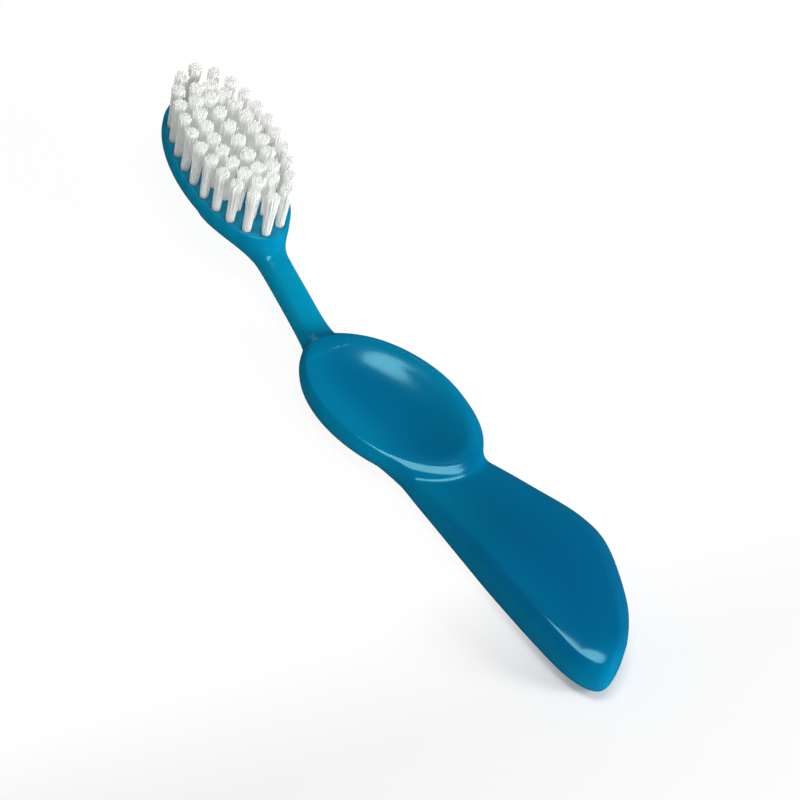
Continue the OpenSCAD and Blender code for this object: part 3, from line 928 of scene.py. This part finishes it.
class BRUSH_OT_anchors(bpy.types.Operator):
    """Give the wire anchors under the tufts their metal finish"""

    bl_idname = "brush.anchors"
    bl_label = "Wire anchors"

    def execute(self, context):
        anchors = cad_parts["tuft_anchors"]
        wire = wire_finish()
        for slot in anchors.material_slots:
            slot.material = wire
        return {"FINISHED"}


# The stage

# Width of the camera's sensor in millimetres, and how far it sees in metres.
SENSOR_WIDTH = 36.0
CLIP_END = 20.0
# Half the side of the floor in metres.
FLOOR_HALF = 3.0
# The point that the lamps face, and each lamp's direction from it, distance, size and long way.
LIT_POINT = (-5 * MM, 8 * MM, 6 * MM)
KEY_WAY = (0.02, -0.06, 1.0)
KEY_DISTANCE = 0.6
KEY_SIZE = (0.34, 0.19)
KEY_LONG_WAY = (0.64, 0.77, 0.0)
FILL_WAY = (0.60, 0.70, 0.32)
FRONT_WAY = (0.93, 0.0, 0.30)
SIDE_DISTANCE = 0.9
SIDE_SIZE = (0.35, 0.35)
UPRIGHT = (0.0, 0.0, 1.0)


def view_axes(azimuth, elevation, roll):
    """Right, up and back of a camera, as columns."""
    back = Vector((
        math.sin(azimuth) * math.cos(elevation),
        -math.cos(azimuth) * math.cos(elevation),
        math.sin(elevation)))
    right = Matrix.Rotation(roll, 3, back) @ Vector((math.cos(azimuth), math.sin(azimuth), 0.0))
    return Matrix((right, back.cross(right), back)).transposed()


def place_camera(stage):
    """Set the camera to look at the brush from where the stage's settings say."""
    axes = view_axes(stage.azimuth, stage.elevation, stage.roll)
    camera = bpy.data.objects.new("camera", bpy.data.cameras.new("camera"))
    camera.data.lens = stage.lens
    camera.data.sensor_width = SENSOR_WIDTH
    camera.data.clip_end = CLIP_END
    place = Vector(stage.aim) + axes.col[2] * stage.distance
    camera.matrix_world = Matrix.Translation(place) @ axes.to_4x4()
    bpy.context.scene.collection.objects.link(camera)
    bpy.context.scene.camera = camera


def lay_floor():
    """Lay a wide square of floor under the brush."""
    mesh = bpy.data.meshes.new("floor")
    corners = [(-1, -1), (1, -1), (1, 1), (-1, 1)]
    mesh.from_pydata([(FLOOR_HALF * x, FLOOR_HALF * y, 0) for x, y in corners], [], [(0, 1, 2, 3)])
    mesh.materials.append(floor_finish())
    floor = bpy.data.objects.new("floor", mesh)
    bpy.context.scene.collection.objects.link(floor)


def softbox(name, way, distance, size, long_way, power):
    """An oval lamp that faces the brush, its longer side along long_way."""
    lamp = bpy.data.lights.new(name, "AREA")
    lamp.shape = "ELLIPSE"
    lamp.size, lamp.size_y = size
    lamp.energy = power
    back = Vector(way).normalized()
    side = Vector(long_way)
    side = (side - back * side.dot(back)).normalized()
    holder = bpy.data.objects.new(name, lamp)
    turn = Matrix((side, back.cross(side), back)).transposed()
    holder.matrix_world = Matrix.Translation(Vector(LIT_POINT) + back * distance) @ turn.to_4x4()
    bpy.context.scene.collection.objects.link(holder)
    return holder


def light_surround(stage):
    """Light from all round: white to the camera, soft on the brush and faint in its reflections."""
    world = bpy.data.worlds.new("surround")
    bpy.context.scene.world = world
    world.use_nodes = True
    surround = Nodes(world.node_tree)
    seen, gloss = surround.rays()
    strength = (stage.surround + gloss * (stage.surround_in_gloss - stage.surround)
                + seen * (1.0 - stage.surround))
    background = surround.nodes["Background"]
    surround.put(background.inputs["Color"], WHITE)
    surround.put(background.inputs["Strength"], strength)


class BRUSH_OT_stage(bpy.types.Operator):
    """Set up the pale floor, the soft lights and the camera"""

    bl_idname = "brush.stage"
    bl_label = "Stage"

    def execute(self, context):
        stage = context.scene.brush_stage
        place_camera(stage)
        lay_floor()
        softbox("key_softbox", KEY_WAY, KEY_DISTANCE, KEY_SIZE, KEY_LONG_WAY, stage.key)
        fill = softbox("fill_softbox", FILL_WAY, SIDE_DISTANCE, SIDE_SIZE, UPRIGHT, stage.fill)
        front = softbox("front_softbox", FRONT_WAY, SIDE_DISTANCE, SIDE_SIZE, UPRIGHT, stage.front)
        fill.visible_glossy = False
        front.visible_glossy = False
        light_surround(stage)
        return {"FINISHED"}


class BRUSH_PT_panel(bpy.types.Panel):
    """Lists the pieces of the toothbrush with their sizes and colours"""

    bl_idname = "BRUSH_PT_panel"
    bl_label = "Toothbrush"
    bl_space_type = "VIEW_3D"
    bl_region_type = "UI"
    bl_category = "Toothbrush"

    def draw(self, context):
        for operator, settings in (
                (BRUSH_OT_handle, context.scene.brush_handle),
                (BRUSH_OT_tufts, context.scene.brush_tufts),
                (BRUSH_OT_anchors, None),
                (BRUSH_OT_stage, context.scene.brush_stage)):
            box = self.layout.box()
            box.operator(operator.bl_idname)
            for key in settings.__annotations__ if settings else ():
                box.prop(settings, key)


SETTINGS = {
    "brush_handle": BrushHandleSettings,
    "brush_tufts": BrushTuftSettings,
    "brush_stage": BrushStageSettings,
}
PIECES = (BRUSH_OT_stage, BRUSH_OT_handle, BRUSH_OT_tufts, BRUSH_OT_anchors)


def register():
    """Add the settings, the operators and the panel to Blender."""
    for item in (*SETTINGS.values(), *PIECES, BRUSH_PT_panel):
        bpy.utils.register_class(item)
    for name, group in SETTINGS.items():
        setattr(bpy.types.Scene, name, bpy.props.PointerProperty(type=group))


def unregister():
    """Take them out again."""
    for name in SETTINGS:
        delattr(bpy.types.Scene, name)
    for item in reversed((*SETTINGS.values(), *PIECES, BRUSH_PT_panel)):
        bpy.utils.unregister_class(item)


def main():
    """Build the brush and its stage."""
    register()
    bpy.context.scene.view_settings.view_transform = "Standard"
    for operator in (bpy.ops.brush.stage, bpy.ops.brush.handle, bpy.ops.brush.tufts, bpy.ops.brush.anchors):
        operator()


if __name__ == "__main__":
    main()
